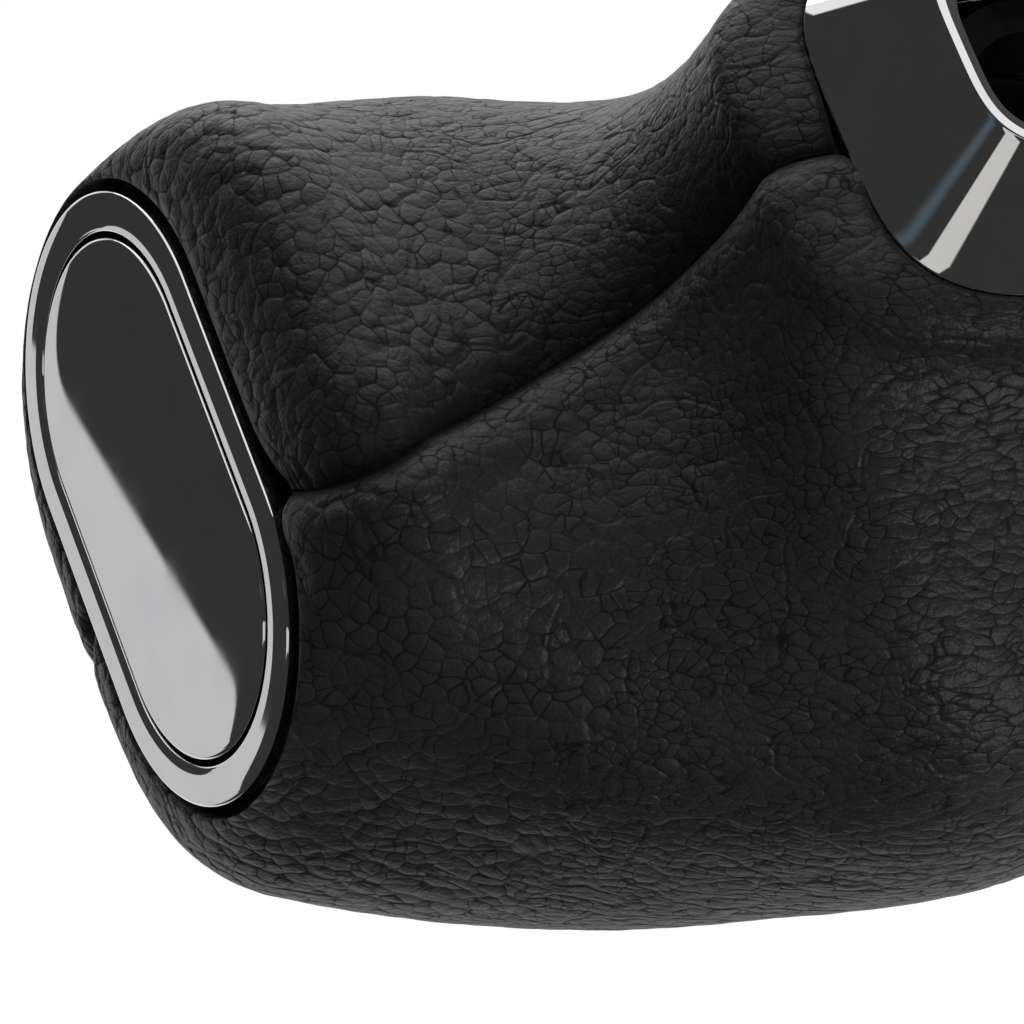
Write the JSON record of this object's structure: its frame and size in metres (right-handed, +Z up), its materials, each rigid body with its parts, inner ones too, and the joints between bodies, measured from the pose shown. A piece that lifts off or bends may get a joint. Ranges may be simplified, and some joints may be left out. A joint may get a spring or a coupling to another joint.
{
  "type": "gear shift knob",
  "caption": "Leather-wrapped gear shift knob with an oval thumb release button and a tapered chrome collar for the lever.",
  "frame": {"origin": "on the axis of the lever bore, in the plane of the collar's top edge, where the grip meets the collar; this point lies inside the bore's wall", "axes": "+Z up along the lever, +Y forward in the car, +X away from the driver of a left-hand-drive car; the release button faces -X"},
  "size_m": [0.0679, 0.0579, 0.067],
  "materials": {
    "leather": "black grained leather, matt",
    "foam": "moulded black foam padding",
    "chassis": "glass-filled black plastic",
    "steel": "plain steel",
    "chrome": "bright chrome plating",
    "rubber": "soft black rubber",
    "acetal": "natural acetal",
    "brass": "turned brass",
    "insert": "black glass-filled plastic",
    "liner": "gloss black plastic"
  },
  "bodies": {
    "grip": {"leather_front": "leather", "leather_rear": "leather", "foam_body": "foam", "chassis_front": "chassis", "chassis_rear": "chassis", "chassis_screws": "steel", "bezel": "chrome", "bezel_gasket": "rubber", "button_spring": "steel", "stop_pad": "rubber", "crank_pin": "steel", "rod_spring": "steel", "guide_bush": "brass", "lever_insert": "insert", "snap_ring": "steel", "collar": "chrome", "collar_liner": "liner"},
    "button": {"button_cap": "chrome", "button_carrier": "acetal"},
    "crank": {"bell_crank": "acetal"},
    "rod": {"release_rod": "steel"}
  },
  "joints": [
    {"name": "button_press", "type": "slide", "parent": "grip", "child": "button", "axis": [1, 0, 0], "range_m": [0, 0.005], "stiffness_N_per_m": 900, "springref_m": -0.003, "deforming": ["button_spring"]},
    {"name": "crank_turn", "type": "hinge", "parent": "grip", "child": "crank", "pos_m": [-0.01189, 0, 0.02561], "axis": [0, 1, 0], "range_deg": [0, 24.1]},
    {"name": "rod_push", "type": "slide", "parent": "grip", "child": "rod", "axis": [0, 0, -1], "range_m": [0, 0.00505], "deforming": ["rod_spring"]}
  ],
  "couplings": [
    {"joint": "crank_turn", "follows": "button_press", "rad_per_m": 83.771},
    {"joint": "rod_push", "follows": "button_press", "ratio": 1}
  ]
}
